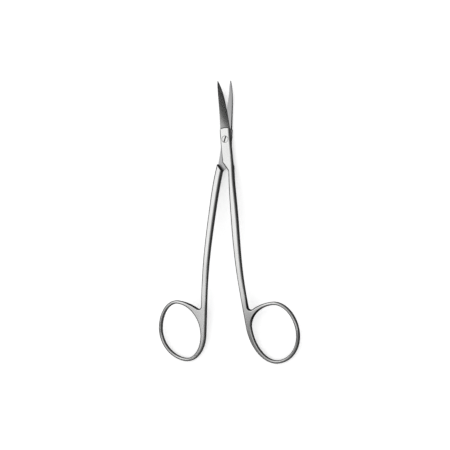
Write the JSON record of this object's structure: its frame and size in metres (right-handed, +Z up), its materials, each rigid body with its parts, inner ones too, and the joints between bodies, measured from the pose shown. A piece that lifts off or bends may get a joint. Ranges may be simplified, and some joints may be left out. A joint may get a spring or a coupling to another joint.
{
  "type": "dissecting scissors",
  "caption": "Small double-curved dissecting scissors with slender pointed blades, a lap joint held by a slotted screw, and finger rings.",
  "frame": {"origin": "where the pivot axis meets the underside of the joint, which is the plane the scissors lie on", "axes": "+Z up along the pivot axis, +Y towards the blade tips between the open arms, +X to the side of the upper arm's finger ring"},
  "size_m": [0.0629, 0.1149, 0.0077],
  "materials": {
    "arm_steel": "satin polished",
    "screw_steel": "satin"
  },
  "bodies": {
    "lower_arm": {"lower_arm": "arm_steel", "pivot_screw": "screw_steel"},
    "upper_arm": {"upper_arm": "arm_steel"}
  },
  "joints": [
    {"name": "pivot", "type": "hinge", "parent": "lower_arm", "child": "upper_arm", "pos_m": [0, 0, 0.00145], "axis": [0, 0, 1], "range_deg": [-13.4, 61]}
  ]
}
